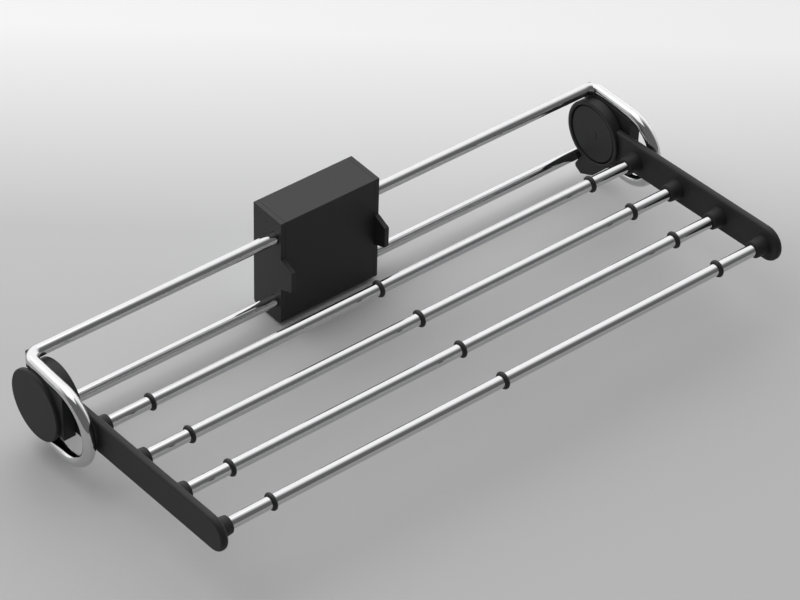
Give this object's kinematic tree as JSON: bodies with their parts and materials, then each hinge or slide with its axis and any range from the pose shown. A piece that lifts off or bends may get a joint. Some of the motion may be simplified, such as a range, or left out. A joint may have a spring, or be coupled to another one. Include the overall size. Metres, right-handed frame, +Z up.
{
  "type": "trouser rack",
  "caption": "Wall-mounted trouser rack: a bent chrome tube frame through a black housing, and chrome bars on two arms that swing up about end hubs.",
  "frame": {"origin": "centre of the four wall screw holes, on the wall face of the back plate", "axes": "+Z up, +X to the right along the bars, -Y out from the wall towards the user"},
  "size_m": [0.8512, 0.3892, 0.15],
  "materials": {
    "chromed_tube": "bright chrome plate",
    "black_plastic": "fine moulded satin",
    "ring_rubber": "matt",
    "bearing_plastic": "matt",
    "zinc_steel": "bright zinc plate"
  },
  "bodies": {
    "wall_frame": {"back_plate": "zinc_steel", "front_shell": "black_plastic", "end_cap_left": "black_plastic", "end_cap_right": "black_plastic", "upper_cradle": "black_plastic", "lower_cradle": "black_plastic", "upper_joiner": "zinc_steel", "lower_joiner": "zinc_steel", "frame_tube_left": "chromed_tube", "frame_tube_right": "chromed_tube", "rail_screws": "zinc_steel", "cap_screws": "zinc_steel", "shell_screws": "zinc_steel", "hub_block_left": "black_plastic", "hub_block_right": "black_plastic", "block_screws_left": "zinc_steel", "block_screws_right": "zinc_steel", "hub_cover_left": "black_plastic", "hub_cover_right": "black_plastic", "hub_axle_left": "zinc_steel", "hub_axle_right": "zinc_steel", "disc_spring_left": "zinc_steel", "disc_spring_right": "zinc_steel", "lock_nut_left": "zinc_steel", "lock_nut_right": "zinc_steel"},
    "swing_rack": {"arm_left": "black_plastic", "arm_right": "black_plastic", "hub_bush_left": "bearing_plastic", "hub_bush_right": "bearing_plastic", "friction_washer_left": "bearing_plastic", "friction_washer_right": "bearing_plastic", "hub_cap_left": "black_plastic", "hub_cap_right": "black_plastic", "bar_1": "chromed_tube", "bar_2": "chromed_tube", "bar_3": "chromed_tube", "bar_4": "chromed_tube", "bar_rings_1": "ring_rubber", "bar_rings_2": "ring_rubber", "bar_rings_3": "ring_rubber", "bar_rings_4": "ring_rubber"}
  },
  "joints": [
    {"name": "rack_swing", "type": "hinge", "parent": "wall_frame", "child": "swing_rack", "pos_m": [0, -0.069, 0], "axis": [-1, 0, 0], "range_deg": [0, 82]}
  ]
}
